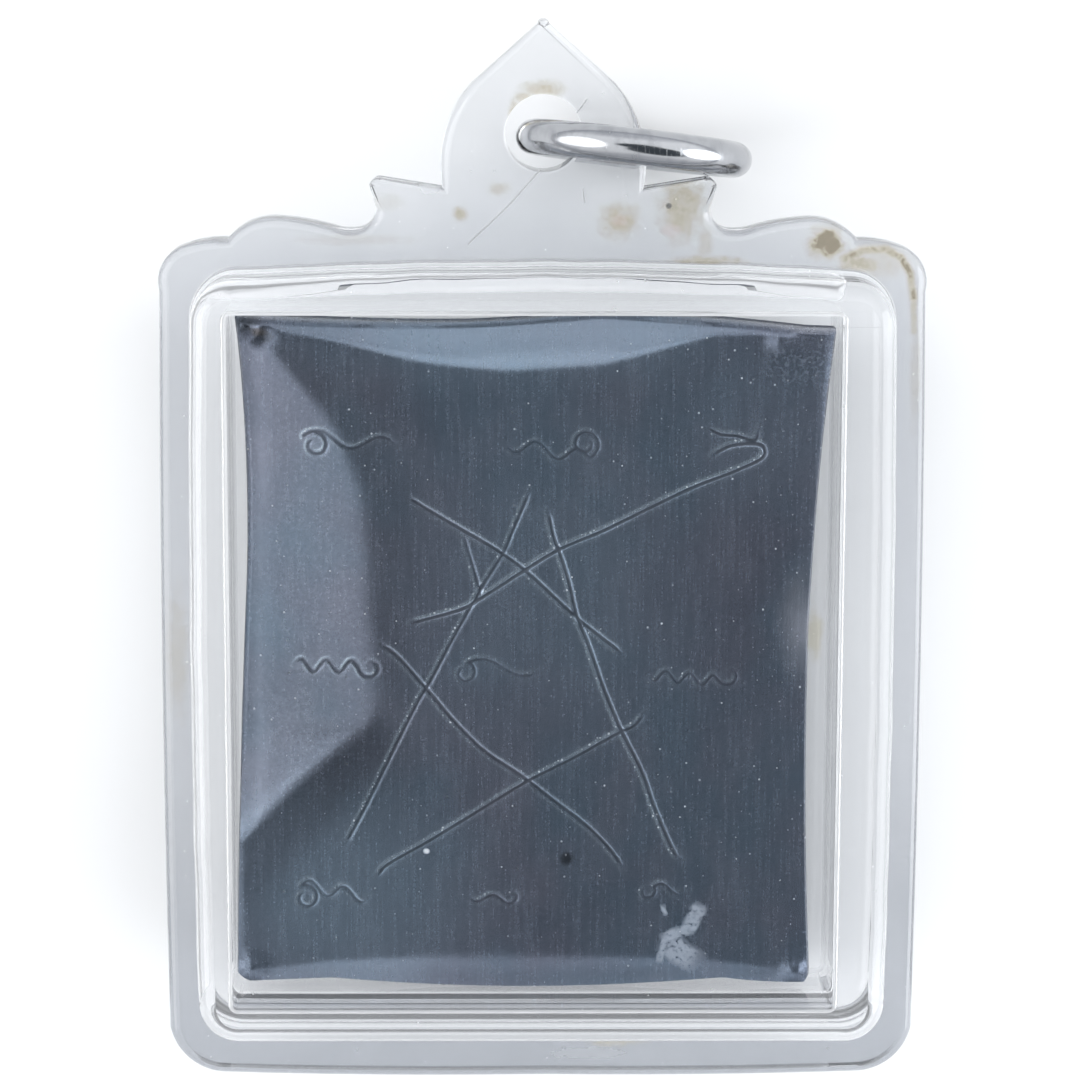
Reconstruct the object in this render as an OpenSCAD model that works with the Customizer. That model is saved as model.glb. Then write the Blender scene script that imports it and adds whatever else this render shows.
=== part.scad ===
// Takrut amulet: a folded lead sheet, scribed by hand, sealed in a clear two-shell acrylic case
// with a flame-shaped crest, and a round steel jump ring through the crest's hole.
// It lies on its back: +Z is the side that is looked at, +Y points to the tip of the crest,
// and the origin is the centre of the flat back face.

/* [Case] */
// Thickness of the whole case, back face to window
case_depth = 10; // [9.4:0.1:12]
// Thickness of the flat flange that both shells form together
flange_depth = 2.6; // [1.8:0.1:3]
// Width of the flange at the ends of its long sides
flange_w = 39; // [38:0.1:42]
// Radius of the rounding along the flange's sides and bottom
flange_round = 0.45; // [0.1:0.05:0.6]
// Gap between the two shells
seam_gap = 0.06; // [0.02:0.01:0.15]

/* [Window box] */
// Width of the raised box at its corners
box_w = 35.5; // [34:0.1:36]
// Height of the raised box, bottom to the middle of its arched top
box_h = 40; // [38:0.1:41]
// Radius of the box's upright corners
box_corner = 2.2; // [1:0.1:4]
// Radius of the rounding round the window
box_round = 0.9; // [0.2:0.05:1.4]
// Rise of the arched top edge
box_arch = 0.45; // [0:0.05:1]

/* [Cell] */
// Width of the cell that holds the sheet
cell_w = 31.5; // [31.3:0.1:33]
// Height of the cell
cell_h = 36.5; // [36.2:0.1:37]
// How far the cell sits to the left of the middle
cell_left = 0.45; // [0.3:0.05:0.6]
// How far the cell sits below the middle
cell_down = 0.25; // [0.1:0.05:0.3]
// Thickness of the window and of the back wall
window_t = 1.2; // [0.8:0.1:1.6]

/* [Crest] */
// Height of the flame's tip above the middle of the box
tip_y = 32.4; // [31.5:0.1:34]
// Radius of the hole for the ring
hole_r = 1.95; // [1.9:0.05:2.2]
// Height of the hole above the middle of the box
hole_y = 26.7; // [26.7:0.1:27]

/* [Lead sheet] */
// Thickness of the folded sheet in its middle
sheet_t = 4.2; // [2:0.1:6]
// Thickness of the folded sheet at its edges
sheet_edge_t = 1.8; // [0.6:0.1:2.6]
// Gap between the sheet and the back wall that it lies on
sheet_gap = 0.1; // [0.05:0.05:0.4]

/* [Jump ring] */
// Outside diameter of the ring
ring_d = 12; // [11.5:0.1:12.5]
// Diameter of its wire
ring_wire = 1.8; // [1.2:0.1:1.8]
// Width of the cut where the wire's ends meet
ring_cut = 0.08; // [0.04:0.02:0.3]
// Angle by which the ring leans towards the crest's tip
ring_lean = 5; // [3:0.5:6.5]
// Angle by which the ring slopes down to the right
ring_slope = 6.5; // [4:0.5:6.5]

/* [Hidden] */
$fn = 64;

// Largest turn of one straight stretch of an arc, in degrees
arc_step = 15;
// How far a cutting shape runs past the face that it cuts
over = 1;

mid_z = case_depth / 2;
flange_half = flange_depth / 2;
box_half = box_w / 2;
box_top = box_h / 2;
side_x = flange_w / 2;
ring_r = (ring_d - ring_wire) / 2;
wire_r = ring_wire / 2;
ring_z = ring_r * cos(ring_lean) + wire_r;
// Left end of the ring's centre line, inside the hole
ring_left = [-0.5, hole_y - 0.2];
// Where the cut sits round the ring
ring_cut_turn = -35;

// How far the long sides of the flange and the box bow outwards
side_bow = 0.15;
// The lowest point of the flange
flange_low = -22.95;

// The right half of the flange's outline, from the middle of the bottom edge up to the tip.
// Each row: x, y, outward bulge of the arc to the next row.
half_flange = [
    [0, flange_low + 0.1, 0.1],
    [side_x - 2.7, -22.65, 0.6],
    [side_x, -20.2, side_bow],
    [side_x, 18.7, 0.5],
    [side_x - 1.25, 20.95, 0.12],
    [16, 21.3, 0.3],
    [13.6, 22.4, 0.1],
    [10.4, 21.85, -0.04],
    [9.5, 21.8, -0.32],
    [8.5, 22.9, 0],
    [8.8, 24.05, 0.1],
    [8.3, 24.4, 0],
    [5.1, 23.9, 0.66],
    [3.6, 29.2, 0],
    [0, tip_y, 0]
];

// The right half of the raised box's outline, in the same form
corner_bulge = box_corner * (1 - cos(45));
half_box = [
    [0, -box_top, 0],
    [box_half - box_corner, -box_top, corner_bulge],
    [box_half, -box_top + box_corner, side_bow],
    [box_half, box_top - box_arch - box_corner, corner_bulge],
    [box_half - box_corner, box_top - box_arch, box_arch / 4],
    [0, box_top, 0]
];

// The whole outline of the folded sheet, anticlockwise from its upper right corner
sheet_edge = [
    [15.1, 16.6, 0],
    [13.6, 16.65, 0.12],
    [2.9, 17.45, -0.06],
    [-3.9, 16.95, -0.1],
    [-14.4, 17.25, 0.05],
    [-15.8, 17.4, -0.24],
    [-15.3, 4, 0.1],
    [-16, -17.3, 0.08],
    [-15.3, -17.9, 0],
    [-11, -17.75, 0.5],
    [9.5, -17.75, 0.1],
    [13.9, -17.95, 0.05],
    [14.2, -17.3, -0.1],
    [13.85, -3, -0.3]
];
sheet_middle = [-0.8, -0.3];
// How much of the way to its middle the sheet's faces slope, and in how many steps
slope_share = 0.36;
slope_steps = 5;

// Points of the arc from p towards q, without q, that bulges to the right of the way
function arc(p, q, bulge) =
    let (
        way = [q.x - p.x, q.y - p.y],
        len = norm(way),
        turn = 4 * atan(2 * bulge / len),
        n = bulge == 0 ? 1 : max(2, ceil(abs(turn) / arc_step)),
        side = [way.y, -way.x] / len,
        radius = bulge == 0 ? 0 : (len * len / 4 + bulge * bulge) / (2 * bulge),
        centre = [p.x, p.y] + way / 2 - side * (radius - bulge)
    )
    bulge == 0 ? [[p.x, p.y]] :
    [for (i = [0 : n - 1])
        let (a = turn * (i / n - 0.5))
        centre + radius * (cos(a) * side + sin(a) * way / len)];

// The points of a closed outline given by rows of x, y, bulge
function outline(rows) =
    [for (i = [0 : len(rows) - 1]) each arc(rows[i], rows[(i + 1) % len(rows)], rows[i][2])];

// The points of a half outline from row to row, and its mirror image back down
function half_points(rows) =
    [for (i = [0 : len(rows) - 2]) each arc(rows[i], rows[i + 1], rows[i][2])];

function mirrored(rows) =
    let (
        right = half_points(rows),
        top = [[rows[len(rows) - 1].x, rows[len(rows) - 1].y]],
        left = [for (i = [len(right) - 1 : -1 : 1]) [-right[i].x, right[i].y]]
    )
    concat(right, top, left);

// An outline drawn together towards the sheet's middle by a share of its size
function shrunk(points, share) = [for (p = points) p + share * (sheet_middle - p)];

function lift(points, z) = [for (p = points) [p.x, p.y, z]];

// A closed solid through rings of points, all of the same length
module loft(rings) {
    n = len(rings[0]);
    last = len(rings) - 1;
    sides = [for (k = [0 : last - 1]) for (i = [0 : n - 1])
        let (j = (i + 1) % n)
        [k * n + i, (k + 1) * n + i, (k + 1) * n + j, k * n + j]];
    bottom = [for (i = [0 : n - 1]) i];
    lid = [for (i = [n - 1 : -1 : 0]) last * n + i];
    polyhedron([for (ring = rings) each ring], concat(sides, [bottom, lid]), convexity = 6);
}

// The side view of a plate: upright walls, and corners rounded at z1
module plate_profile(low, high, z0, z1, radius) {
    translate([low, z0])
        square([high - low, z1 - radius - z0]);
    translate([low + radius, z0])
        square([high - low - 2 * radius, z1 - z0]);
    for (side = [low + radius, high - radius])
        translate([side, z1 - radius])
            circle(r = radius);
}

// A plate of the given outline, its outer edges rounded where they run near the limits of x and y
module rounded_plate(points, x_limit, y_limits, z0, z1, radius) {
    reach = 2 * (tip_y + over);
    intersection() {
        translate([0, 0, z0])
            linear_extrude(z1 - z0)
                polygon(points);
        rotate([90, 0, 0])
            linear_extrude(reach, center = true)
                plate_profile(-x_limit, x_limit, z0 - over, z1, radius);
        rotate([90, 0, 90])
            linear_extrude(reach, center = true)
                plate_profile(y_limits[0], y_limits[1], z0 - over, z1, radius);
    }
}

// One shell seen from its outer side, from the seam plane at z = 0 outwards.
// The cell lies cell_side away from the middle.
module shell(cell_side) {
    seam = seam_gap / 2;
    difference() {
        union() {
            rounded_plate(mirrored(half_flange), side_x + side_bow, [flange_low, tip_y + over],
                seam, flange_half, flange_round);
            rounded_plate(mirrored(half_box), box_half + side_bow, [-box_top, box_top],
                seam, mid_z, box_round);
        }
        translate([cell_side - cell_w / 2, -cell_down - cell_h / 2, -over])
            cube([cell_w, cell_h, over + mid_z - window_t]);
        translate([0, hole_y, -over])
            cylinder(h = flange_half + 2 * over, r = hole_r);
    }
}

module front_shell() {
    color([0.86, 0.87, 0.9, 0.5])
        translate([0, 0, mid_z])
            shell(-cell_left);
}

module back_shell() {
    color([0.84, 0.85, 0.88, 0.5])
        translate([0, 0, mid_z])
            rotate([0, 180, 0])
                shell(cell_left);
}

// A pillow: its edge is a low upright band and both faces swell towards the middle
module takrut_sheet() {
    rim = outline(sheet_edge);
    band = sheet_edge_t / 2;
    swell = sheet_t / 2 - band;
    up = [for (k = [1 : slope_steps])
        let (a = 90 * k / slope_steps)
        lift(shrunk(rim, slope_share * (1 - cos(a))), band + swell * sin(a))];
    down = [for (k = [slope_steps : -1 : 1])
        let (a = 90 * k / slope_steps)
        lift(shrunk(rim, slope_share * (1 - cos(a))), -band - swell * sin(a))];
    color([0.3, 0.33, 0.38])
        translate([0, 0, window_t + sheet_gap + sheet_t / 2])
            loft(concat(down, [lift(rim, -band), lift(rim, band)], up));
}

// The ring stands on its lowest point, leans over and hooks through the crest's hole
module jump_ring() {
    color("silver")
        translate([ring_left.x, ring_left.y, ring_z])
            rotate([0, 0, -ring_slope])
                translate([ring_r, 0, 0])
                    rotate([90 - ring_lean, 0, 0])
                        difference() {
                            rotate_extrude($fn = 96)
                                translate([ring_r, 0])
                                    circle(r = wire_r, $fn = 48);
                            rotate([0, 0, ring_cut_turn])
                                translate([ring_r - wire_r - over, -ring_cut / 2, -wire_r - over])
                                    cube([ring_wire + 2 * over, ring_cut, ring_wire + 2 * over]);
                        }
}

front_shell();
back_shell();
takrut_sheet();
jump_ring();
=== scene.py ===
import math
import random

import bmesh
import bpy
import numpy as np
from mathutils import Matrix, Vector, geometry


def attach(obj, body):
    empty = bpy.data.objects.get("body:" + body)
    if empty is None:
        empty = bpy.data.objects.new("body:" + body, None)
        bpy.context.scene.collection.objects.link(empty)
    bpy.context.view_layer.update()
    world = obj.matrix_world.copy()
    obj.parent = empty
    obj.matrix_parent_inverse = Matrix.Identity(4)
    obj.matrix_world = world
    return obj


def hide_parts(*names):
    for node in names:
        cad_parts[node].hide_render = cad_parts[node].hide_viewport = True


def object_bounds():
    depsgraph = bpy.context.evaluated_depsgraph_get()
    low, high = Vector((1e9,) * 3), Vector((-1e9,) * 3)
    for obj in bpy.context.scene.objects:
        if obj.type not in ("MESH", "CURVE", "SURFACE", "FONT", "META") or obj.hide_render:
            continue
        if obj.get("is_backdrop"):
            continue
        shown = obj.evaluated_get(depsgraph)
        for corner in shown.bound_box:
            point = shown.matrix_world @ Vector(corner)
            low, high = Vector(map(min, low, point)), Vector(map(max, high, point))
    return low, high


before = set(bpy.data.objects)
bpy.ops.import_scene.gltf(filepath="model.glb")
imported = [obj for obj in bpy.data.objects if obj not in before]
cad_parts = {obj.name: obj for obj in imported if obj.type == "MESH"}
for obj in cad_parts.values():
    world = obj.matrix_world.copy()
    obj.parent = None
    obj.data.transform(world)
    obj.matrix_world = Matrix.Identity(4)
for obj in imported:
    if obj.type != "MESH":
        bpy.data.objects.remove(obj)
cad_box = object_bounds()

MM = 0.001

# Sizes, in millimetres
CASE_DEPTH = 10
FLANGE_HALF = 1.3
SEAM_HALF = 0.03
EDGE_ROUND = 0.55
BOX_ROUND = 0.9
# The box's rounding stops at this angle, in a low crease round the window
BOX_ROUND_END = 55
BASE_FILLET = 0.25
# Where the flange's rim is worn rounder: place, reach and how much wider the rounding is
WORN_RIM = [
    (2.2, 30.4, 1.6, 0.9), (9.2, 22.9, 1.2, 0.7), (4.4, 24.6, 0.8, 0.6), (16.2, 21.3, 0.9, 0.6),
    (19.2, 19.6, 1.5, 0.5)]
# The eased edge where the shells meet
SEAM_EASE = 0.07
HOLE_AT, HOLE_R, HOLE_ROUND = (0, 26.7), 1.95, 0.15
CELL = (-16.2, -18.5, 15.3, 18.0)
CELL_TOP, CELL_CORNER, CELL_FILLET = 3.8, 0.5, 0.2
GUARD = 0.03
# Waves left in the box's walls: their length and where they start
WAVES, WAVE_DEPTH = [(9.3, 0.4), (5.1, 2.0), (3.3, 4.1)], 0.035

# The right half of the flange's outline, from the middle of the bottom edge up to the tip:
# x, y and the outward bulge of the arc to the next row
HALF_FLANGE = [
    (0, -22.815, 0.1), (16.8, -22.65, 0.6), (19.5, -20.2, 0.15), (19.5, 18.7, 0.5), (18.25, 20.95, 0.12),
    (16, 21.3, 0.3), (13.6, 22.4, 0.1), (10.4, 21.85, -0.04), (9.5, 21.8, -0.32), (8.5, 22.9, 0),
    (8.8, 24.05, 0.1), (8.3, 24.4, 0), (5.1, 23.9, 0.66), (3.6, 29.2, 0), (0.3, 32.14, 0.08),
    (0, 32.36, 0)]
BOX_HALF, BOX_CORNER, BOX_TOP, BOX_ARCH = 17.75, 2.2, 20, 0.45
CORNER_BULGE = BOX_CORNER * (1 - math.cos(math.pi / 4))
HALF_BOX = [
    (0, -BOX_TOP, 0), (BOX_HALF - BOX_CORNER, -BOX_TOP, CORNER_BULGE),
    (BOX_HALF, -BOX_TOP + BOX_CORNER, 0.15), (BOX_HALF, BOX_TOP - BOX_ARCH - BOX_CORNER, CORNER_BULGE),
    (BOX_HALF - BOX_CORNER, BOX_TOP - BOX_ARCH, BOX_ARCH / 4), (0, BOX_TOP, 0)]

# The folded sheet's outline, one side after another, anticlockwise from its upper right corner
SHEET_SIDES = [
    [(15.1, 16.6, 0), (13.6, 16.65, 0.12), (2.9, 17.45, -0.06), (-3.9, 16.95, -0.1), (-14.4, 17.25, 0.05),
     (-15.8, 17.4, 0)],
    [(-15.8, 17.4, -0.24), (-15.3, 4, 0.1), (-16, -17.3, 0)],
    [(-16, -17.3, 0.08), (-15.3, -17.9, 0), (-11, -17.75, 0.5), (9.5, -17.75, 0.1), (13.9, -17.95, 0)],
    [(13.9, -17.95, 0.05), (14.2, -17.3, -0.1), (13.85, -3, -0.3), (15.1, 16.6, 0)]]


# Outlines

def arc(start, end, bulge, fine=5):
    """Points of the arc from start towards end, without end, that bulges to the right of the way."""
    p, q = np.array(start[:2], float), np.array(end[:2], float)
    if not bulge:
        return [p]
    way = q - p
    length = np.hypot(*way)
    turn = 4 * math.atan(2 * bulge / length)
    steps = max(6, math.ceil(abs(math.degrees(turn)) / fine))
    side = np.array([way[1], -way[0]]) / length
    radius = (length ** 2 / 4 + bulge ** 2) / (2 * bulge)
    centre = p + way / 2 - side * (radius - bulge)
    return [centre + radius * (math.cos(a) * side + math.sin(a) * way / length)
            for a in (turn * (i / steps - 0.5) for i in range(steps))]


def mirrored(rows, fine=5):
    """A closed outline from its right half, given from its lowest point to its highest."""
    right = [point for a, b in zip(rows, rows[1:]) for point in arc(a, b, a[2], fine)]
    top = [np.array(rows[-1][:2], float)]
    return np.array(right + top + [np.array([-p[0], p[1]]) for p in right[:0:-1]])


def inset(points, depth):
    """An anticlockwise outline moved inwards, by one depth or by one for each point."""
    way = np.roll(points, -1, 0) - points
    way /= np.linalg.norm(way, axis=1)[:, None]
    after = np.stack([way[:, 1], -way[:, 0]], 1)
    before = np.roll(after, 1, 0)
    shift = (before + after) / (1 + (before * after).sum(1))[:, None]
    return points - shift * np.broadcast_to(depth, len(points))[:, None]


def eased(points, depth):
    """How far each point can move inwards, up to depth, before an edge beside it turns over."""
    depths = np.array(np.broadcast_to(depth, len(points)), float)
    way = np.roll(points, -1, 0) - points
    for _ in range(80):
        moved = inset(points, depths)
        now = np.roll(moved, -1, 0) - moved
        turned = (now * way).sum(1) < 0.25 * (way * way).sum(1)
        if not turned.any():
            break
        depths[turned | np.roll(turned, 1)] *= 0.88
        depths = np.minimum(depths, (np.roll(depths, 1) + depths + np.roll(depths, -1)) / 3 + 0.01)
    return depths


def waved(points):
    """An outline as a hand leaves it after sanding: it never bulges past its true line."""
    way = np.concatenate([[0], np.cumsum(np.linalg.norm(np.diff(points, axis=0), axis=1))])
    wave = sum(np.sin(way * 2 * math.pi / length + phase) for length, phase in WAVES)
    return inset(points, WAVE_DEPTH * (1 + wave / len(WAVES)))


def circle(centre, radius, steps=72):
    turn = np.arange(steps) * 2 * math.pi / steps
    return np.stack([centre[0] + radius * np.cos(turn), centre[1] + radius * np.sin(turn)], 1)


def rounded_box(x0, y0, x1, y1, radius, steps=6):
    points = []
    for x, y, start in ((x1, y1, 0), (x0, y1, 90), (x0, y0, 180), (x1, y0, 270)):
        cx = x - radius if x == x1 else x + radius
        cy = y - radius if y == y1 else y + radius
        for i in range(steps + 1):
            a = math.radians(start + 90 * i / steps)
            points.append((cx + radius * math.cos(a), cy + radius * math.sin(a)))
    return np.array(points)


# Meshes

class Mould:
    """Collects the points, in millimetres, and the faces of one closed mesh."""

    def __init__(self):
        self.points, self.faces, self.slots = [], [], []

    def use(self, slot):
        """The faces made since the last call get this material slot."""
        self.slots += [slot] * (len(self.faces) - len(self.slots))

    def ring(self, outline, z):
        first = len(self.points)
        heights = np.broadcast_to(z, len(outline))
        self.points += [(p[0], p[1], h) for p, h in zip(outline, heights)]
        return list(range(first, len(self.points)))

    def wall(self, *rings):
        for low, high in zip(rings, rings[1:]):
            n = len(low)
            self.faces += [(low[i], low[(i + 1) % n], high[(i + 1) % n], high[i]) for i in range(n)]

    def lid(self, outer, *holes):
        """Fills a flat ring, round its holes."""
        if not holes:
            self.faces.append(tuple(outer))
            return
        loops = [[Vector((*self.points[i][:2], 0)) for i in ring] for ring in (outer, *holes)]
        flat = [i for ring in (outer, *holes) for i in ring]
        self.faces += [tuple(flat[i] for i in face) for face in geometry.tessellate_polygon(loops)]

    def piece(self, name, body="root", sharp=30):
        mesh = bpy.data.meshes.new(name)
        mesh.from_pydata([[c * MM for c in p] for p in self.points], [], self.faces)
        self.use(0)
        mesh.polygons.foreach_set("material_index", self.slots)
        made = bmesh.new()
        made.from_mesh(mesh)
        bmesh.ops.recalc_face_normals(made, faces=made.faces)
        made.to_mesh(mesh)
        made.free()
        return placed(name, mesh, body, sharp)


def placed(name, mesh, body="root", sharp=30):
    mesh.shade_smooth()
    mesh.set_sharp_from_angle(angle=math.radians(sharp))
    made = bpy.data.objects.new(name, mesh)
    bpy.context.scene.collection.objects.link(made)
    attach(made, body)
    return made


def shell(name, side):
    """One shell of the case. side is 1 for the front and -1 for the back."""
    mould = Mould()
    mid = CASE_DEPTH / 2

    def ring(outline, z):
        return mould.ring(outline, mid + side * z)

    quarter = [math.radians(a) for a in (0, 15, 30, 45, 60, 75, 90)]
    # The flange's rim
    rim = mirrored(HALF_FLANGE)
    worn = sum(more * np.exp(-((rim[:, 0] - x) ** 2 + (rim[:, 1] - y) ** 2) / reach ** 2)
               for x, y, reach, more in WORN_RIM)
    ease = eased(rim, (EDGE_ROUND + GUARD) * (1 + worn)) / (EDGE_ROUND + GUARD)
    low = FLANGE_HALF - EDGE_ROUND
    seam_rim = ring(inset(rim, SEAM_EASE * ease), SEAM_HALF)
    rings = [seam_rim, ring(rim, SEAM_HALF + SEAM_EASE), ring(rim, low - GUARD)]
    rings += [ring(inset(rim, EDGE_ROUND * (1 - math.cos(a)) * ease), low + EDGE_ROUND * math.sin(a))
              for a in quarter]
    rings.append(ring(inset(rim, (EDGE_ROUND + GUARD) * ease), FLANGE_HALF))
    mould.wall(*rings)
    flat_rim = rings[-1]
    # The hole through the crest
    bore = circle(HOLE_AT, HOLE_R)
    hole = [ring(bore, SEAM_HALF), ring(bore, FLANGE_HALF - HOLE_ROUND - GUARD)]
    hole += [ring(circle(HOLE_AT, HOLE_R + HOLE_ROUND * (1 - math.cos(a))),
                  FLANGE_HALF - HOLE_ROUND * (1 - math.sin(a))) for a in quarter]
    hole.append(ring(circle(HOLE_AT, HOLE_R + HOLE_ROUND + GUARD), FLANGE_HALF))
    mould.wall(*hole)
    box = waved(mirrored(HALF_BOX, 0.12))
    foot = ring(inset(box, -BASE_FILLET - GUARD), FLANGE_HALF)
    mould.lid(flat_rim, foot, hole[-1])
    mould.use(0)
    # The raised box round the window
    walls = [foot]
    walls += [ring(inset(box, -BASE_FILLET * (1 - math.sin(a))),
                   FLANGE_HALF + BASE_FILLET * (1 - math.cos(a))) for a in quarter]
    walls += [ring(box, FLANGE_HALF + BASE_FILLET + GUARD), ring(box, mid - BOX_ROUND - GUARD)]
    end = math.radians(BOX_ROUND_END)
    walls += [ring(inset(box, BOX_ROUND * (1 - math.cos(a)) / (1 - math.cos(end))),
                   mid - BOX_ROUND * (1 - math.sin(a) / math.sin(end)))
              for a in (end * step / 6 for step in range(7))]
    walls.append(ring(inset(box, BOX_ROUND + GUARD), mid))
    mould.wall(*walls)
    mould.lid(walls[-1])
    mould.use(2)
    # The cell
    cell = rounded_box(*CELL, CELL_CORNER)
    inner = [ring(cell, SEAM_HALF), ring(cell, CELL_TOP - CELL_FILLET - GUARD)]
    inner += [ring(inset(cell, CELL_FILLET * (1 - math.cos(a))), CELL_TOP - CELL_FILLET * (1 - math.sin(a)))
              for a in quarter]
    inner.append(ring(inset(cell, CELL_FILLET + GUARD), CELL_TOP))
    mould.lid(inner[-1])
    mould.use(1)
    mould.lid(seam_rim, inner[0], hole[0])
    mould.use(3)
    mould.wall(*inner)
    mould.use(4)
    return mould.piece(name)


# The scribed sheet

# Heights of the sheet's middle field, of the rim's upper and lower edge and of its back
PLATEAU, RIM_TOP, RIM_LOW, SHEET_LOW = 5.38, 4.3, 2.5, 1.3

# Lines of the scribed star, in the order in which they cross
STAR = [
    [(-6.9, 8.0), (-5.6, 7.2), (-4.1, 6.3), (-2.4, 5.3), (-0.9, 4.2), (1.7, 1.8), (2.9, 0.8), (4.2, -0.2)],
    [(-6.8, 1.4), (-4.3, 2.1), (-3.2, 2.7), (-0.9, 4.2), (0.9, 5.3), (3.2, 6.3), (6.0, 7.7), (7.9, 8.6),
     (9.7, 9.3), (11.2, 10.0), (11.4, 10.5), (11.0, 10.8), (9.7, 10.7), (8.7, 10.2)],
    [(8.3, 11.7), (9.1, 11.3), (10.0, 11.2), (10.9, 11.0), (11.1, 11.7)],
    [(0.3, 7.3), (0.6, 5.9), (0.9, 5.1), (1.4, 3.5), (1.8, 1.8), (2.4, 0.3), (3.2, -2.0), (4.1, -4.2),
     (5.2, -6.4), (5.9, -8.4), (6.9, -10.7), (7.3, -11.1)],
    [(-0.6, 8.4), (-1.5, 6.3), (-2.0, 5.1), (-3.1, 3.3), (-4.6, 0.6), (-5.7, -1.5), (-6.4, -2.7),
     (-7.6, -5.1), (-8.9, -7.8), (-10.2, -10.3)],
    [(-8.3, 0.3), (-7.4, -0.4), (-6.1, -1.9), (-4.5, -3.8), (-2.9, -5.4), (-1.0, -6.7), (0.9, -8.2),
     (2.3, -9.3), (3.4, -10.4), (4.3, -11.6)],
    [(-8.6, -12.1), (-8.0, -11.4), (-6.1, -10.3), (-4.0, -9.0), (-0.8, -7.0), (1.7, -5.7), (3.8, -4.5),
     (4.8, -4.0), (5.4, -3.3)],
    [(-4.1, 6.2), (-3.2, 3.1), (-3.2, 2.7)],
    [(2.6, 6.9), (3.2, 6.3)]]
# How deep each of those lines is cut
STAR_CUT = [1, 1.15, 0.7, 1.1, 0.6, 0.9, 0.8, 0.5, 0.5]

# Small scrolls beside the star: middle, width, height, 1 or -1 for the end that curls up, turns and waves
SCROLLS = [
    (-9.9, 10.7, 5.0, 1.5, 1, 1.3, 1.5), (0.5, 10.8, 4.9, 1.5, -1, 1.6, 2.0),
    (-10.5, -0.9, 4.6, 1.3, -1, 0.9, 2.5), (-2.4, -1.2, 4.4, 1.2, 1, 1.1, 1.0),
    (7.9, -1.3, 4.8, 1.2, -1, 0.8, 3.0), (-11.0, -13.2, 4.0, 1.4, 1, 1.2, 2.0),
    (-2.5, -13.1, 2.8, 1.0, -1, 0.8, 1.0), (6.3, -12.9, 2.4, 0.9, 1, 1.0, 1.0)]


# Length of the short steps of a scribed line
LINE_STEP = 0.12


def smooth_line(points, step=LINE_STEP):
    """A Catmull-Rom curve through the points, cut into even short steps."""
    p = np.array(points, float)
    p = np.vstack([2 * p[0] - p[1], p, 2 * p[-1] - p[-2]])
    curve = []
    for a, b, c, d in zip(p, p[1:], p[2:], p[3:]):
        for t in np.linspace(0, 1, 12, endpoint=False):
            curve.append(0.5 * (2 * b + (c - a) * t + (2 * a - 5 * b + 4 * c - d) * t ** 2
                                + (3 * b - a - 3 * c + d) * t ** 3))
    curve = np.array(curve + [p[-2]])
    way = np.concatenate([[0], np.cumsum(np.linalg.norm(np.diff(curve, axis=0), axis=1))])
    even = np.linspace(0, way[-1], max(3, int(way[-1] / step)))
    return np.stack([np.interp(even, way, curve[:, k]) for k in (0, 1)], 1)


def scroll(x, y, width, height, way, turns, waves):
    """A line that curls up at one end and runs out in a ripple at the other."""
    t = np.linspace(0, 1, 22)
    turn, reach = 2 * math.pi * (0.1 + turns * t), height / 2 * (0.25 + 0.75 * t)
    curl = np.stack([reach * np.cos(turn) - width / 2 + height / 2, reach * np.sin(turn)], 1)
    t = np.linspace(0.08, 1, 22)
    ripple = np.stack([curl[-1, 0] + (width / 2 - curl[-1, 0]) * t,
                       curl[-1, 1] * (1 - t) + 0.24 * height * np.sin(2 * math.pi * waves * t)], 1)
    return np.vstack([curl, ripple]) * (way, 1) + (x, y)


def scribed_lines():
    lines = [(smooth_line(points), cut) for points, cut in zip(STAR, STAR_CUT)]
    return lines + [(smooth_line(scroll(*row)), 0.5) for row in SCROLLS]


def crease(points, at, column):
    """The crease's place across, for each place along it."""
    rows = np.array(sorted(points, key=lambda p: p[column]), float)
    return np.interp(at, rows[:, column], rows[:, 1 - column])


# The creases between the sheet's middle field and its slopes
LEFT_CREASE = [
    (-16.2, -17.8), (-16, -12), (-15.7, -10.2), (-12.5, -6.9), (-10.6, -5.3), (-8.9, -4.0), (-8.7, -2.9),
    (-8.8, -0.2), (-9.1, 2.0), (-9.1, 4.6), (-9.4, 8.1), (-10.7, 11.5), (-12.3, 13.5), (-14.7, 16.5),
    (-15.8, 17.4)]
TOP_CREASE = [
    (-15.8, 17.3), (-14.6, 16.8), (-10.7, 16.1), (-7.1, 15.2), (-5.5, 14.9), (-1.9, 14.5), (3.0, 14.8),
    (6.6, 15.8), (8.8, 16.4), (15.1, 16.5)]
RIGHT_CREASE = [(15.0, 16.6), (13.6, 12), (12.9, 4), (12.7, -2), (13.1, -10), (14.1, -17.8)]
FOOT_CREASE = [(-16, -17.5), (-11, -16.6), (-2, -16.0), (8, -16.4), (14, -17.6)]
# How far the left, right, upper and lower slope falls, and how wide it has to be for that
SLOPES = [(1.0, 5.5), (0.04, 1.5), (0.9, 2.2), (0.25, 1.6)]
# A low ridge where the left slope ends: its line, half width and height
RIDGE_HALF, RIDGE_HIGH = 0.35, 0.05
BAND_RIDGE = [(-8.9, -4.0), (-10.6, -5.3), (-12.5, -6.9), (-14.2, -8.5), (-15.7, -10.2)]


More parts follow.
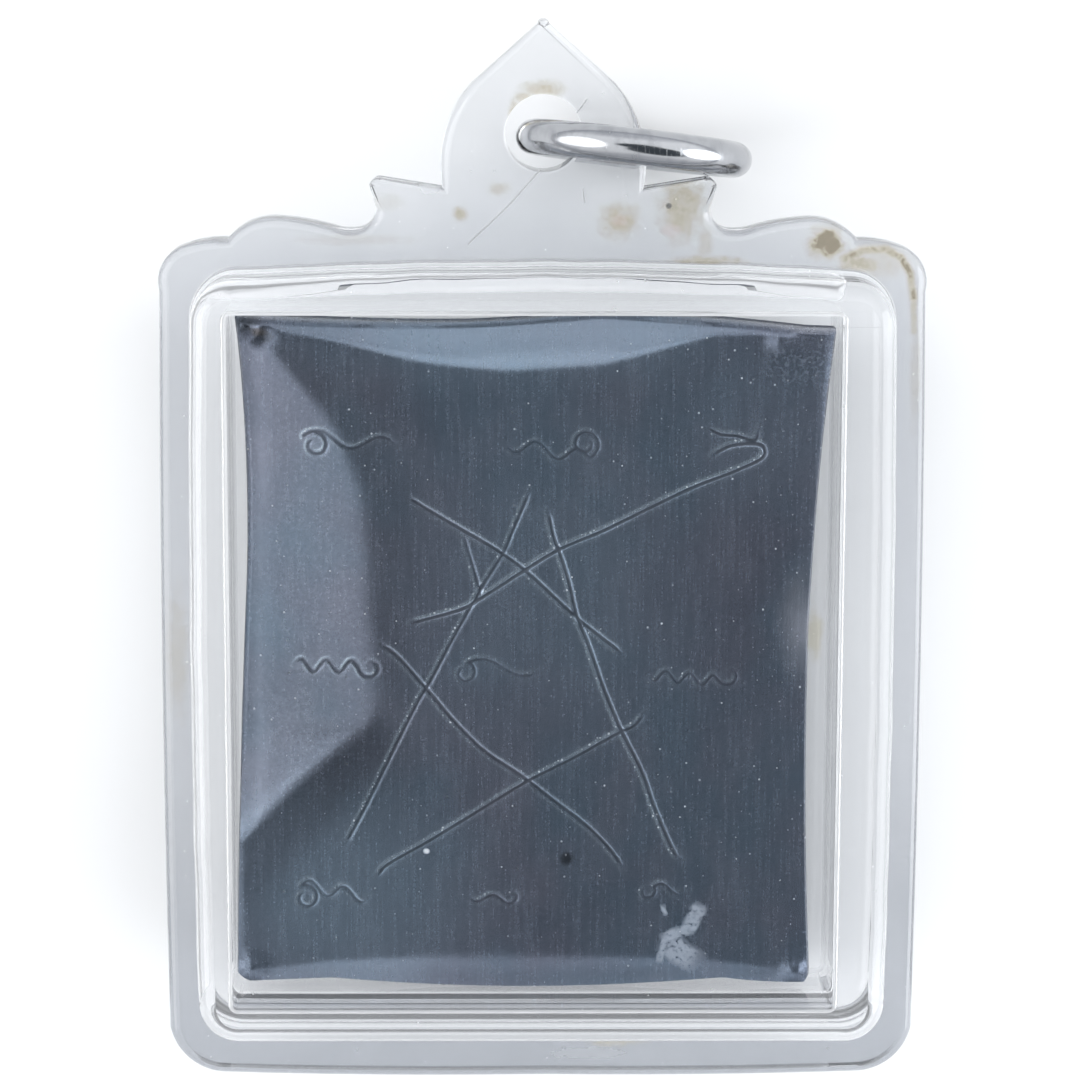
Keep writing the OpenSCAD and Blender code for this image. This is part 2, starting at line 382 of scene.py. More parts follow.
def swell(x, y):
    """Height of the sheet's front face: a middle field, and four slopes beyond its creases."""
    edges = sheet_edges(x, y)
    z = np.full(x.shape, float(PLATEAU))
    left, right = crease(LEFT_CREASE, y, 1), crease(RIGHT_CREASE, y, 1)
    top, foot = crease(TOP_CREASE, x, 0), crease(FOOT_CREASE, x, 0)
    rooms = [(left - x, left - edges[0]), (x - right, edges[1] - right),
             (y - top, edges[2] - top), (foot - y, foot - edges[3])]
    for (beyond, room), (fall, wide) in zip(rooms, SLOPES):
        share = np.clip(beyond / np.maximum(room, 0.35), -0.2, 1)
        z -= fall * np.minimum(1, room / wide) * soft_ramp(share, 0.05)
    ridge = smooth_line(BAND_RIDGE)
    away = np.sqrt(((x[..., None] - ridge[:, 0]) ** 2 + (y[..., None] - ridge[:, 1]) ** 2).min(-1))
    z += RIDGE_HIGH * np.exp(-(away / RIDGE_HALF) ** 2)
    # The lead isn't quite flat
    for cx, cy, wide, lift in DENTS + LUMPS:
        z += lift * np.exp(-((x - cx) ** 2 + (y - cy) ** 2) / wide ** 2)
    return z


# Lumps and hollows that show: middle, half width, height
LUMPS = [
    (-15.2, 16.9, 0.55, 0.5), (-14.3, 16.3, 0.4, -0.25), (14.0, 1.2, 1.7, -0.24), (13.3, -17.2, 0.5, 0.25),
    (12.2, 16.2, 0.6, 0.2), (-15.2, -17.0, 0.5, 0.25), (2.0, 8.5, 3.2, -0.05), (-3.5, -3.0, 3.0, 0.05)]


def soft_ramp(value, soft):
    """0 below 0 and value above it, rounded at the turn."""
    return soft * np.logaddexp(0, value / soft)


def sheet_edges(x, y):
    return (crease(EDGE_LINES[1], y, 1), crease(EDGE_LINES[3], y, 1),
            crease(EDGE_LINES[0], x, 0), crease(EDGE_LINES[2], x, 0))


EDGE_LINES = [[tuple(p) for a, b in zip(side, side[1:]) for p in arc(a, b, a[2], 1)] + [side[-1][:2]]
              for side in SHEET_SIDES]
rng = random.Random(5)
DENTS = [(rng.uniform(-14, 13), rng.uniform(-16, 15), rng.uniform(1.6, 4.5), rng.uniform(-0.03, 0.03))
         for _ in range(26)]


def side_points(side, shares):
    """Points at even shares along one side of the sheet."""
    p = np.array(EDGE_LINES[side], float)
    way = np.concatenate([[0], np.cumsum(np.linalg.norm(np.diff(p, axis=0), axis=1))])
    at = shares * way[-1]
    return np.stack([np.interp(at, way, p[:, k]) for k in (0, 1)], 1)


# Where the painted glint on the scribed lines' burrs comes from, in x and y
PAINTED_GLINT_FROM = (-0.8, 0.6)
# A groove's half width and depth, and the distance, half width and height of the burr beside it
GROOVE_HALF, GROOVE_DEPTH = 0.085, 0.045
BURR_AT, BURR_HALF, BURR_HIGH = 0.19, 0.07, 0.012
# How far a line reaches beyond its points, over how much its ends fade out, and how deep a cut must be to
# get painted shade
LINE_REACH, LINE_FADE, PAINTED_SHADE_CUT = 0.75, 0.5, 0.25


def groove(x, y, lines):
    """Depth of the scribed lines with their burrs, and their painted tone: painted shade in the grooves
    above 0, a painted glint on the burrs below 0.
    """
    z, tone = np.zeros(x.shape), np.zeros(x.shape)
    for points, cut in lines:
        low, high = points.min(0) - LINE_REACH, points.max(0) + LINE_REACH
        near = np.where((x > low[0]) & (x < high[0]) & (y > low[1]) & (y < high[1]))[0]
        if not len(near):
            continue
        a, b = points[:-1], points[1:]
        way = b - a
        px, py = x[near][:, None] - a[:, 0], y[near][:, None] - a[:, 1]
        t = np.clip((px * way[:, 0] + py * way[:, 1]) / (way ** 2).sum(1), 0, 1)
        dx, dy = px - t * way[:, 0], py - t * way[:, 1]
        away = np.sqrt(dx ** 2 + dy ** 2)
        best = away.argmin(1)
        row = np.arange(len(near))
        d = away[row, best]
        side = np.sign(way[best, 0] * py[row, best] - way[best, 1] * px[row, best])
        along = (best + t[row, best]) / len(way)
        fade = np.clip(np.minimum(along, 1 - along) * len(way) * LINE_STEP / LINE_FADE, 0.25, 1)
        depth = cut * fade * (1 + 0.15 * np.sin(along * len(way) * 0.17 + cut * 9))
        deep = depth * np.exp(-(d / GROOVE_HALF) ** 2)
        z[near] -= GROOVE_DEPTH * deep
        burr_with_painted_glint = depth * np.exp(-((d - BURR_AT) / BURR_HALF) ** 2)
        z[near] += BURR_HIGH * burr_with_painted_glint * (0.6 + 0.4 * side)
        # The burr gets a painted glint where it faces the lamp on the left
        length = np.hypot(way[best, 0], way[best, 1])
        facing = side * (way[best, 1] * PAINTED_GLINT_FROM[0] - way[best, 0] * PAINTED_GLINT_FROM[1]) / -length
        painted_glint = burr_with_painted_glint * np.clip(0.35 + 0.75 * facing, 0.12, 1)
        # Deep grooves get painted shade, and the burrs beside them a painted glint
        tone[near] = np.where(deep > PAINTED_SHADE_CUT, np.maximum(tone[near], deep),
                              np.where(tone[near] > PAINTED_SHADE_CUT, tone[near], np.minimum(tone[near], -painted_glint)))
    return z, tone


def near_lines(faces, lines, reach):
    chosen = []
    middles = np.array([face.calc_center_median()[:2] for face in faces]) / MM
    every = np.vstack([points[::2] for points, _ in lines])
    for start in range(0, len(middles), 4000):
        block = middles[start:start + 4000]
        gap = ((block[:, None] - every) ** 2).sum(-1).min(1)
        chosen += [faces[start + i] for i in np.where(gap < reach ** 2)[0]]
    return chosen


# The sheet's grid: width, height and step, and the steps near its edges
GRID_W, GRID_H, GRID_STEP, GRID_FIRST = 30, 35, 0.3, 0.6
FINE_STEPS = [0, 0.08, 0.2, 0.38]
# The faces round off over this width, towards a height below the front's rim and above the back's
ROUND_OFF, FRONT_DROP, BACK_RISE = 0.22, 0.35, 0.3
# The field that holds the scribed lines: left, right and half height
FIELD = (-14.6, 12.9, 16)


def front_faces(made):
    return [face for face in made.faces
            if face.normal.z > 0.7 and face.calc_center_median().z > RIM_TOP * MM]


def takrut():
    """The folded sheet: its two faces, its beaded rim and the scribed lines."""
    def stops(length, step):
        inner = np.linspace(GRID_FIRST, length - GRID_FIRST, int((length - 2 * GRID_FIRST) / step))
        return np.concatenate([FINE_STEPS, inner, [length - f for f in reversed(FINE_STEPS)]]) / length

    across, along = stops(GRID_W, GRID_STEP), stops(GRID_H, GRID_STEP)
    top = side_points(0, 1 - across)       # left to right
    foot = side_points(2, across)
    left = side_points(1, 1 - along)       # foot to top
    right = side_points(3, along)
    u, v = np.meshgrid(across, along)      # rows run up the sheet
    corners = foot[0], foot[-1], top[0], top[-1]
    grid = ((1 - v)[..., None] * foot[None] + v[..., None] * top[None]
            + (1 - u)[..., None] * left[:, None] + u[..., None] * right[:, None]
            - ((1 - u) * (1 - v))[..., None] * corners[0] - (u * (1 - v))[..., None] * corners[1]
            - ((1 - u) * v)[..., None] * corners[2] - (u * v)[..., None] * corners[3])
    x, y = grid[..., 0], grid[..., 1]
    edge = np.minimum(np.minimum(u, 1 - u) * GRID_W, np.minimum(v, 1 - v) * GRID_H)
    round_off = np.sqrt(1 - (1 - np.clip(edge / ROUND_OFF, 0, 1)) ** 2)
    high = RIM_TOP - FRONT_DROP + (swell(x, y) - RIM_TOP + FRONT_DROP) * round_off
    low = RIM_LOW + BACK_RISE - (RIM_LOW + BACK_RISE - under(x, y)) * round_off
    rows, columns = u.shape
    number = np.arange(rows * columns).reshape(rows, columns)
    points = [np.stack([x, y, high], -1).reshape(-1, 3), np.stack([x, y, low], -1).reshape(-1, 3)]
    faces = []
    for j in range(rows - 1):
        for i in range(columns - 1):
            a, b, c, d = number[j, i], number[j, i + 1], number[j + 1, i + 1], number[j + 1, i]
            faces.append((a, b, c, d))
            faces.append(tuple(k + rows * columns for k in (d, c, b, a)))
    # The rim, where the folded layers show as low beads
    loop = list(number[0, :-1]) + list(number[:-1, -1]) + list(number[-1, :0:-1]) + list(number[:0:-1, 0])
    flat = np.concatenate(points)
    rim = flat[loop][:, :2]
    ease = eased(rim, 0.2) / 0.2
    layers, count = [loop], len(flat)
    for z, depth in RIM_BEADS:
        moved = inset(rim, depth * ease)
        points.append(np.column_stack([moved, np.full(len(loop), z)]))
        layers.append(list(range(count, count + len(loop))))
        count += len(loop)
    layers.append([k + rows * columns for k in loop])
    for upper, lower in zip(layers, layers[1:]):
        n = len(upper)
        faces += [(upper[i], lower[i], lower[(i + 1) % n], upper[(i + 1) % n]) for i in range(n)]
    mesh = bpy.data.meshes.new("takrut_sheet_scribed")
    mesh.from_pydata((np.concatenate(points) * MM).tolist(), [], faces)
    # Finer faces along the scribed lines
    lines = scribed_lines()
    made = bmesh.new()
    made.from_mesh(mesh)
    first = len(made.verts)
    made.faces.ensure_lookup_table()
    for reach in (0.62, 0.42):
        chosen = near_lines(front_faces(made), lines, reach)
        bmesh.ops.subdivide_edges(made, edges=list({e for f in chosen for e in f.edges}), cuts=1,
                                  use_grid_fill=True)
    made.verts.ensure_lookup_table()
    spots = np.array([vert.co[:] for vert in made.verts]) / MM
    new = np.arange(len(spots)) >= first
    inside = ((spots[:, 2] > RIM_TOP) & (spots[:, 0] > FIELD[0]) & (spots[:, 0] < FIELD[1])
              & (np.abs(spots[:, 1]) < FIELD[2]))
    redo = new & inside
    spots[redo, 2] = swell(spots[redo, 0], spots[redo, 1])
    change, cut = groove(spots[inside, 0], spots[inside, 1], lines)
    spots[inside, 2] += change
    depth = np.zeros(len(spots))
    depth[inside] = cut
    for vert, spot in zip(made.verts, spots * MM):
        vert.co = spot
    bmesh.ops.recalc_face_normals(made, faces=made.faces)
    made.to_mesh(mesh)
    made.free()
    # The mesh keeps the lines' painted tone: painted shade in the grooves above 0, a painted glint on the
    # burrs below 0
    mesh.attributes.new("cut", "FLOAT", "POINT").data.foreach_set("value", depth)
    return placed("takrut_sheet_scribed", mesh, sharp=50)


# Height and depth of each row of points down the rim
RIM_BEADS = [(3.85, 0.0), (3.72, 0.03), (3.62, 0.13), (3.56, 0.15), (3.5, 0.12), (3.4, 0.02), (3.25, 0.02),
             (3.14, 0.12), (3.08, 0.15), (3.02, 0.12), (2.93, 0.02)]


def under(x, y):
    """Height of the back face: the lead's ends are folded over each other there."""
    edges = sheet_edges(x, y)
    margin = np.minimum(np.minimum(x - edges[0], edges[1] - x), np.minimum(edges[2] - y, y - edges[3]))
    z = SHEET_LOW + 0.45 + 0.75 * np.exp(-np.maximum(margin, 0) / 2.2)
    # The flap from the right lies over the one from the left, and both over the turned-in ends
    flap = 1.1 + 0.02 * y + 0.12 * np.sin(0.35 * y)
    z -= 0.22 / (1 + np.exp(-(x - flap) / 0.05))
    ends = 10.6 + 0.25 * np.sin(0.5 * x) - 0.03 * x
    z -= 0.16 / (1 + np.exp(-(ends - np.abs(y)) / 0.06))
    for cx, cy, wide, lift in DENTS:
        z += lift * np.exp(-((x + cx) ** 2 + (y - cy) ** 2) / wide ** 2)
    return np.maximum(z, SHEET_LOW + 0.02)


# The ring

RING_R, WIRE_R, RING_CUT, RING_CUT_TURN = 5.1, 0.898, 0.08, -35
RING_LEFT, RING_LEAN, RING_SLOPE = (-0.5, 26.5), 5, 6.5


def jump_ring():
    mould = Mould()
    around, across = 160, 36
    gap = RING_CUT / 2 / RING_R
    start = math.radians(RING_CUT_TURN)
    rings = []
    soft = [(0, 0.78), (0.01, 0.9), (0.03, 0.97), (0.06, 1)]       # the wire's ends are eased
    stops = [(gap + d / RING_R, s) for d, s in soft]
    stops += [(gap + 0.06 / RING_R + (2 * math.pi - 2 * gap - 0.12 / RING_R) * i / around, 1)
              for i in range(1, around)]
    stops += [(2 * math.pi - gap - d / RING_R, s) for d, s in reversed(soft)]
    for angle, share in stops:
        a = start + angle
        first = len(mould.points)
        for i in range(across):
            b = 2 * math.pi * i / across
            r = RING_R + WIRE_R * share * math.cos(b)
            mould.points.append((r * math.cos(a), r * math.sin(a), WIRE_R * share * math.sin(b)))
        rings.append(list(range(first, len(mould.points))))
    mould.wall(*rings)
    mould.lid(rings[0])
    mould.lid(rings[-1][::-1])
    place = (Matrix.Translation((*RING_LEFT, RING_R * math.cos(math.radians(RING_LEAN)) + WIRE_R))
             @ Matrix.Rotation(math.radians(-RING_SLOPE), 4, "Z") @ Matrix.Translation((RING_R, 0, 0))
             @ Matrix.Rotation(math.radians(90 - RING_LEAN), 4, "X"))
    mould.points = [tuple(place @ Vector(p)) for p in mould.points]
    return mould.piece("jump_ring_polished", sharp=40)


# Materials

class Wire:
    """A socket of a material. Sums on it add Math nodes."""

    def __init__(self, bench, socket):
        self.bench, self.socket = bench, socket

    def sum(self, operation, *values):
        return self.bench.node("Math", {"operation": operation}, dict(enumerate(values)))

    def __add__(self, other): return self.sum("ADD", self, other)
    def __radd__(self, other): return self.sum("ADD", other, self)
    def __sub__(self, other): return self.sum("SUBTRACT", self, other)
    def __rsub__(self, other): return self.sum("SUBTRACT", other, self)
    def __mul__(self, other): return self.sum("MULTIPLY", self, other)
    def __rmul__(self, other): return self.sum("MULTIPLY", other, self)
    def __truediv__(self, other): return self.sum("DIVIDE", self, other)
    def __pow__(self, other): return self.sum("POWER", self, other)
    def root(self): return self.sum("SQRT", self)
    def size(self): return self.sum("ABSOLUTE", self)
    def most(self, other): return self.sum("MAXIMUM", self, other)
    def least(self, other): return self.sum("MINIMUM", self, other)


class Bench:
    """The node tree of one material or of the world."""

    def __init__(self, holder):
        holder.use_nodes = True
        self.tree = holder.node_tree
        self.tree.nodes.clear()

    def node(self, kind, settings=None, values=None, out=0):
        made = self.tree.nodes.new("ShaderNode" + kind)
        for name, value in (settings or {}).items():
            setattr(made, name, value)
        for name, value in (values or {}).items():
            if isinstance(value, Wire):
                self.tree.links.new(value.socket, made.inputs[name])
            else:
                made.inputs[name].default_value = value
        return Wire(self, made.outputs[out]) if made.outputs else made

    def between(self, value, low, high, to_low=0.0, to_high=1.0):
        return self.node("MapRange", {"interpolation_type": "SMOOTHSTEP"},
                         {0: value, 1: low, 2: high, 3: to_low, 4: to_high})

    def mix(self, factor, first, second, blend="MIX"):
        return self.node("Mix", {"data_type": "RGBA", "blend_type": blend},
                         {0: factor, 6: colour(first), 7: colour(second)}, 2)

    def stretched(self, vector, scale, turn=0.0):
        return self.node("Mapping", {}, {"Vector": vector, "Scale": scale, "Rotation": (0, 0, turn)})

    def noise(self, vector, scale, detail=3.0, rough=0.5):
        return self.node("TexNoise", {}, {
            "Vector": vector, "Scale": scale, "Detail": detail, "Roughness": rough})


def colour(value):
    return value if isinstance(value, Wire) else (*value, 1)


def material(name):
    made = bpy.data.materials.new(name)
    return made, Bench(made)


def millimetres(bench):
    """Object coordinates in millimetres, and their three parts."""
    place = bench.node("VectorMath", {"operation": "SCALE"},
                       {0: bench.node("TexCoord", out="Object"), "Scale": 1 / MM})
    parts = [bench.node("SeparateXYZ", {}, {0: place}, axis) for axis in range(3)]
    return place, parts


def spot(bench, parts, x, y, wide, high, soft=0.35, wobble=None):
    """1 inside an oval at x, y and 0 outside it, with a soft, uneven edge."""
    away = (((parts[0] - x) / wide) ** 2 + ((parts[1] - y) / high) ** 2).root()
    if wobble is not None:
        away = away + wobble
    return bench.between(away, 1 - soft, 1 + soft, 1.0, 0.0)


def stroke(bench, parts, x0, y0, x1, y1, half, wobble=0.0, core=0.5):
    """1 on a straight line between two points, fading from its core to half its width."""
    length = math.hypot(x1 - x0, y1 - y0)
    ux, uy = (x1 - x0) / length, (y1 - y0) / length
    dx, dy = parts[0] - x0, parts[1] - y0
    along = dx * ux + dy * uy
    across = (dx * uy - dy * ux + wobble).size()
    on = bench.between(across, half * core, half, 1.0, 0.0)
    start = bench.between(along, -half, half * 0.3)
    return on * (start * bench.between(along, length - half * 0.3, length + half, 1.0, 0.0))


def specks(bench, place, scale, size, share):
    """Scattered dots of uneven size and strength, in this share of the cells of a pattern."""
    away = bench.node("TexVoronoi", {"voronoi_dimensions": "2D"}, {"Vector": place, "Scale": scale},
                      "Distance")
    lot = [bench.node("SeparateColor", {}, {0: Wire(bench, away.socket.node.outputs["Color"])}, axis)
           for axis in range(3)]
    dot = bench.between(away / (lot[1] * lot[1] + 0.35), size * 0.4, size, 1.0, 0.0)
    return dot * lot[0].sum("LESS_THAN", lot[0], share) * (0.35 + lot[2] * 0.65)


def hairlines(bench, place, turn, scale, share):
    """Fine scratches that run one way."""
    lines = bench.noise(bench.stretched(place, (scale, scale * 0.035, scale * 0.3), turn), 1.0, 2.0, 0.6)
    return bench.between(lines, share, share + 0.035)


def widest(masks):
    every = masks[0]
    for mask in masks[1:]:
        every = every.most(mask)
    return every


def glass(bench, tint, rough, normal=None, clear=1.0):
    """Clear plastic that lets the light of lamps through to what it holds."""
    values = {"Base Color": tint, "Roughness": rough, "IOR": 1.49, "Transmission Weight": clear}
    if normal is not None:
        values["Normal"] = normal
    surface = bench.node("BsdfPrincipled", {}, values)
    through = bench.node("BsdfTransparent", {}, {"Color": LAMP_LIGHT})
    for kind in ("Is Diffuse Ray", "Is Shadow Ray"):
        surface = bench.node("MixShader", {}, {0: bench.node("LightPath", out=kind), 1: surface, 2: through})
    bench.node("OutputMaterial", {}, {"Surface": surface})


def plastic(bench, place, parts, tones):
    """The plastic's colour: a little darker towards the foot of the case and lighter at the crest, with
    faint clouds.
    """
    foot, middle, crest = tones
    cloud = bench.noise(place, 0.25, 1.0)
    low = bench.between(parts[1] + cloud * 8, -22, 4, 1.0, 0.0)
    high = bench.between(parts[1] + cloud * 4, 20, 29)
    return bench.mix(high, bench.mix(low, middle, foot), crest)


def acrylic_inside(name, clear):
    """The smooth inner faces. clear is the share of light that isn't scattered."""
    made, bench = material(name)
    place, _ = millimetres(bench)
    cloud = bench.noise(place, 0.25, 0.0)
    glass(bench, bench.mix(cloud, *INSIDE_TONES), 0.0, clear=clear)
    return made


def acrylic_back():
    made, bench = material("clear_acrylic_back")
    place, parts = millimetres(bench)
    tint = plastic(bench, place, parts, FLANGE_TONES)
    hair = hairlines(bench, place, 0.7, 6.0, 0.66)
    glass(bench, tint, hair * 0.25)
    return made


def acrylic_window():
    made, bench = material("clear_acrylic_window")
    place, parts = millimetres(bench)
    tint = plastic(bench, place, parts, WINDOW_TONES)
    wobble = (bench.noise(place, 1.6, 2.0, 0.65) - 0.5) * 1.4
    yellow = spot(bench, parts, 13.75, 1.7, 0.35, 1.1, 0.5, wobble)
    tint = bench.mix(yellow * 0.6, tint, YELLOW)
    dust = specks(bench, place, 0.6, 0.045, 0.3)
    glass(bench, tint, dust * 0.5)
    return made


def acrylic_front():
    made, bench = material("clear_acrylic_worn")
    place, parts = millimetres(bench)
    wobble = (bench.noise(place, 1.6, 3.0, 0.65) - 0.5) * 1.4
    crumb = bench.between(bench.noise(place, 2.6, 3.0, 0.7), 0.36, 0.6, 0.8, 1.0)
    lines = widest([stroke(bench, parts, *row[:5], wobble * 0.12, 0.1) * row[5] for row in STAIN_LINES])
    brown = widest([spot(bench, parts, *row[:4], 0.6, wobble) * row[4] for row in STAINS])
    brown = brown.most(lines) * crumb
    black = widest([spot(bench, parts, *row, 0.4, wobble * 0.6) for row in BLACK_SPOTS])
    pink = widest([spot(bench, parts, *row, 0.5, wobble * 0.6) for row in PINK_SPOTS])
    yellow = spot(bench, parts, 3.9, -20.6, 1.4, 0.45, 0.5, wobble)
    scratch = widest([stroke(bench, parts, *row, wobble * 0.05) for row in SCRATCHES])
    chips = widest([spot(bench, parts, *row, 0.5, wobble) for row in CHIPS])
    hair = hairlines(bench, place, 0.5, 7.0, 0.66)
    dust = specks(bench, place, 0.8, 0.05, 0.4)

    tint = plastic(bench, place, parts, FLANGE_TONES)
    stain = bench.mix(bench.between(brown, 0.6, 0.9), THIN_STAIN, THICK_STAIN)
    tint = bench.mix((brown * 1.3).least(1.0), tint, stain)
    tint = bench.mix(pink * 0.22, tint, PINK)
    tint = bench.mix(yellow * 0.6, tint, YELLOW)
    tint = bench.mix(black.most(scratch * 0.45), tint, DIRT)
    marks = scratch.most(chips).most(hair * 0.3)
    rough = (brown * 0.08 + dust * 0.5 + marks * 0.5).least(0.8)
    ripple = bench.noise(place, 0.16, 0.0)
    bump = bench.node("Bump", {}, {"Strength": 0.4, "Distance": 0.05 * MM, "Height": ripple})
    glass(bench, tint, rough, bump)
    return made


LAMP_LIGHT = (0.98, 0.985, 0.99, 1)
# The plastic's colour at the foot, in the middle and at the crest
FLANGE_TONES = (0.465, 0.485, 0.52), (0.70, 0.715, 0.745), (0.94, 0.95, 0.96)
WINDOW_TONES = (0.95, 0.955, 0.97), (0.975, 0.98, 0.985), (0.98, 0.985, 0.99)
INSIDE_TONES = (0.98, 0.98, 0.985), (0.99, 0.99, 0.995)
THIN_STAIN, THICK_STAIN = (0.50, 0.41, 0.235), (0.19, 0.145, 0.085)
PINK, YELLOW, DIRT = (0.8, 0.42, 0.40), (0.75, 0.62, 0.3), (0.08, 0.075, 0.07)
# Brown stains: middle, half width, half height, strength
STAINS = [
    (3.85, 22.3, 0.85, 0.8, 0.68), (7.0, 23.0, 1.0, 1.5, 0.68), (-4.2, 22.6, 0.35, 0.35, 0.7),
    (-2.3, 23.9, 0.5, 0.3, 0.45), (0.0, 28.9, 0.9, 0.4, 0.7), (-1.5, 27.7, 0.25, 0.7, 0.7),
    (-1.0, 28.5, 0.5, 0.25, 0.65), (8.2, 20.25, 1.7, 0.25, 0.65), (8.2, 21.1, 0.35, 0.8, 0.4),
    (13.9, 21.2, 0.5, 0.55, 0.6), (14.35, 21.2, 0.85, 0.75, 0.97), (16.2, 20.1, 1.1, 0.4, 0.7),
    (17.2, 20.2, 1.2, 0.7, 0.4), (-18.8, -0.1, 0.5, 2.9, 0.35), (19.0, 14.6, 0.25, 2.6, 0.3),
    (-9.5, 21.3, 2.5, 0.25, 0.2), (-8.0, 23.2, 0.9, 0.4, 0.2)]
# Brown lines along the right shoulder: two ends, half width, strength
STAIN_LINES = [
    (15.2, 20.35, 16.3, 20.8, 0.45, 0.78), (16.3, 20.8, 17.4, 20.85, 0.42, 0.82),
    (17.4, 20.85, 18.2, 20.4, 0.4, 0.86), (18.2, 20.4, 18.65, 19.6, 0.38, 0.86),
    (18.65, 19.6, 18.85, 18.3, 0.35, 0.8), (18.85, 18.3, 18.9, 16.6, 0.3, 0.6)]
BLACK_SPOTS = [(6.35, 23.05, 0.14, 0.14)]
PINK_SPOTS = [(3.85, 22.3, 0.35, 0.3), (6.5, 21.8, 0.45, 0.3)]
CHIPS = [(2.4, -21.5, 1.9, 0.28), (-5.7, 24.0, 0.55, 0.4)]
SCRATCHES = [
    (-0.2, 24.8, -1.7, 23.1, 0.05), (-1.7, 23.1, -3.8, 21.1, 0.05), (1.6, 27.6, 2.2, 28.4, 0.05),
    (2.0, 23.9, 2.1, 23.2, 0.04), (-12.5, 17.3, -4.0, 17.7, 0.03)]


# Colours of the lead's field, of what lies on it or is worn into it, and of the shade, glints and
# reflections painted on it
LEAD = {
    "warm": (0.185, 0.20, 0.262), "cool": (0.162, 0.222, 0.292), "blotch": (0.265, 0.275, 0.345),
    "rolled": (0.29, 0.33, 0.41), "painted_slope_shade_tone": (0.09, 0.105, 0.13), "rubbed_and_painted_sheen": (0.27, 0.35, 0.44),
    "valley_painted_shade": (0.07, 0.08, 0.11), "fold_painted_reflection": (0.50, 0.52, 0.60), "grain": (0.34, 0.38, 0.45),
    "cut": (0.02, 0.022, 0.028), "burr_with_painted_glint": (0.55, 0.65, 0.73), "side": (0.05, 0.055, 0.07),
    "smear": (0.5, 0.55, 0.62), "speck": (0.75, 0.78, 0.82), "dark": (0.03, 0.035, 0.04),
    "corner": (0.16, 0.13, 0.10)}


def lead():
    made, bench = material("dull_scribed_lead")
    place, parts = millimetres(bench)
    streaks = bench.noise(bench.stretched(place, (9.0, 0.3, 0.5)), 1.0, 3.0, 0.6)
    cloud = bench.noise(place, 0.13, 2.0, 0.5)
    blotch = bench.noise(bench.stretched(place, (0.3, 0.22, 0.3), 0.4), 1.0, 2.0, 0.5)
    grain = bench.noise(place, 5.0, 2.0, 0.6)
    wobble = (bench.noise(place, 0.9, 2.0, 0.6) - 0.5) * 1.5
    worn = widest([spot(bench, parts, *row[:4], 0.7) * row[4] for row in WORN_AND_PAINTED_SHEEN])
    base = bench.mix(bench.between(cloud, 0.35, 0.65), LEAD["warm"], LEAD["cool"])
    base = bench.mix(bench.between(blotch, 0.35, 0.7) * 0.45, base, LEAD["blotch"])
    rolled = bench.between(streaks, 0.42, 0.62)
    base = bench.mix(rolled * 0.16, base, LEAD["rolled"])
    # Painted shade on the left slope
    painted_slope_shade_mask = widest([spot(bench, parts, *row[:4], 0.6) * row[4] for row in PAINTED_SLOPE_SHADE])
    base = bench.mix(painted_slope_shade_mask, base, LEAD["painted_slope_shade_tone"])
    # Rubbed places lighter, with a painted sheen on the upper slope
    base = bench.mix(worn * 0.6, base, LEAD["rubbed_and_painted_sheen"])
    # Painted shade in the valley to the lower left corner
    base = bench.mix(stroke(bench, parts, *PAINTED_VALLEY_SHADE, 0.0, 0.1) * 0.36, base, LEAD["valley_painted_shade"])
    # A painted reflection on the fold at the right edge
    base = bench.mix(spot(bench, parts, *PAINTED_FOLD_REFLECTION, 0.8, wobble * 0.3) * 0.8, base, LEAD["fold_painted_reflection"])
    base = bench.mix(bench.between(grain, 0.4, 0.66) * 0.14, base, LEAD["grain"])
    smear = widest([stroke(bench, parts, *row, wobble * 0.25) for row in SMEAR])
    smear = smear * bench.between(grain, 0.25, 0.5)
    dusty = spot(bench, parts, 13.2, 15.0, 1.6, 1.3, 0.7) * bench.between(grain, 0.5, 0.62)
    smear = smear.most(dusty * 0.22)
    tilted = bench.stretched(place, (1, 1, 1), 0.5)
    dots = specks(bench, tilted, 1.9, 0.1, 0.08 + bench.between(parts[0], 0, 12) * 0.14)
    # Painted shade in the scribed grooves and a painted glint on the burrs that face the left lamp
    tone = bench.node("Attribute", {"attribute_name": "cut"}, out="Fac")
    cut, burr_with_painted_glint = tone.most(0.0), (0 - tone).most(0.0)
    crumbs = specks(bench, place, 5.0, 0.3, 0.5) * bench.between(burr_with_painted_glint, 0.15, 0.4)
    pale = dots.most(crumbs).most(spot(bench, parts, -6.0, -10.7, 0.16, 0.13, 0.5, wobble)) * 0.85
    dark = widest([spot(bench, parts, *row[:4], 0.6, wobble) * row[4] for row in DARK_SPOTS])
    base = bench.mix((cut * 1.3).least(0.72), base, LEAD["cut"])
    base = bench.mix((burr_with_painted_glint * 1.1).least(0.6), base, LEAD["burr_with_painted_glint"])
    # Painted shade: the sheet's sides and lowest edges are coloured darker by height
    base = bench.mix(bench.between(parts[2], 3.9, 4.3, 0.7, 0.0), base, LEAD["side"])
    base = bench.mix(smear * 0.55, base, LEAD["smear"])
    base = bench.mix(pale, base, LEAD["speck"])
    base = bench.mix(dark, base, LEAD["dark"])
    base = bench.mix(spot(bench, parts, -14.5, 16.55, 0.35, 0.2, 0.6, wobble) * 0.5, base, LEAD["corner"])
    metal = 0.9 - pale * 0.8
    rough = (0.2 + rolled * 0.04 + grain * 0.06 + smear * 0.3 + pale * 0.3 + cut * 0.2).least(0.8)
    relief = streaks * 0.0025 + grain * 0.001
    bump = bench.node("Bump", {}, {"Strength": 0.6, "Distance": 1.0 * MM, "Height": relief})
    surface = bench.node("BsdfPrincipled", {}, {
        "Base Color": base, "Metallic": metal, "Roughness": rough, "Normal": bump})
    bench.node("OutputMaterial", {}, {"Surface": surface})
    return made


